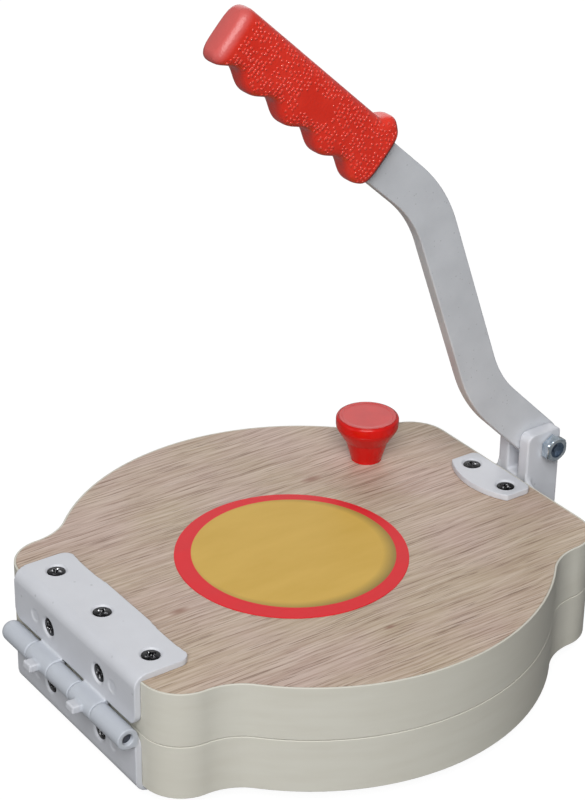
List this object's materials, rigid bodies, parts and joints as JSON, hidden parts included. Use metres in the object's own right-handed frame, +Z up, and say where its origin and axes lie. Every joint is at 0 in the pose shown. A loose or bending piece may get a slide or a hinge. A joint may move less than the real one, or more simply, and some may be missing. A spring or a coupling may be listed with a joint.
{
  "type": "roti press",
  "caption": "Hinged pair of round laminated boards with a bent lever in a fork that presses the lid down to flatten dough.",
  "frame": {"origin": "on the surface the feet stand on, in the middle of the footprint", "axes": "+X along the hinge pin, +Y from the hinge to the lever's fork, +Z up"},
  "size_m": [0.216, 0.2682, 0.3068],
  "materials": {
    "board_wood": "sawn core under the skins",
    "plain_laminate": "smooth satin laminate",
    "decor_laminate": "wood-grain laminate, satin",
    "edge_band": "satin edge band",
    "coated_casting": "pale grey powder coat on a casting",
    "coated_bar": "pale grey powder coat on a steel bar",
    "zinc_steel": "zinc plated",
    "black_screws": "black oxide",
    "foot_rubber": "moulded rubber",
    "red_knob": "glossy moulding",
    "red_grip": "soft grip with raised dots",
    "badge_film": "printed film"
  },
  "bodies": {
    "base": {"lower_board_core": "board_wood", "lower_press_laminate": "plain_laminate", "lower_base_laminate": "plain_laminate", "lower_edge_band": "edge_band", "lower_hinge_leaf": "coated_casting", "hinge_pin": "zinc_steel", "lower_leaf_screws": "black_screws", "lever_bracket": "coated_casting", "bracket_screws": "black_screws", "pivot_bolt": "zinc_steel", "pivot_washer": "zinc_steel", "pivot_nut": "zinc_steel", "rubber_feet": "foot_rubber", "feet_screws": "black_screws"},
    "lid": {"upper_board_core": "board_wood", "upper_top_laminate": "decor_laminate", "upper_press_laminate": "plain_laminate", "upper_edge_band": "edge_band", "upper_hinge_leaf": "coated_casting", "upper_leaf_screws": "black_screws", "strike_plate": "coated_casting", "strike_plate_screws": "black_screws", "lid_knob": "red_knob", "knob_stud": "zinc_steel", "round_badge": "badge_film"},
    "bush": {"pivot_bush": "zinc_steel"},
    "lever": {"lever_arm": "coated_bar", "lever_grip": "red_grip"}
  },
  "joints": [
    {"name": "lid_hinge", "type": "hinge", "parent": "base", "child": "lid", "pos_m": [0, -0.12499, 0.03315], "axis": [1, 0, 0], "range_deg": [0, 44]},
    {"name": "lever_swing", "type": "hinge", "parent": "base", "child": "bush", "pos_m": [0, 0.12435, 0.07205], "axis": [-1, 0, 0], "range_deg": [0, 132]},
    {"name": "lever_press", "type": "hinge", "parent": "bush", "child": "lever", "pos_m": [0, 0.12435, 0.07205], "axis": [-1, 0, 0], "range_deg": [-44, 0]}
  ],
  "couplings": [
    {"joint": "lever_swing", "follows": "lid_hinge", "ratio": 3}
  ]
}
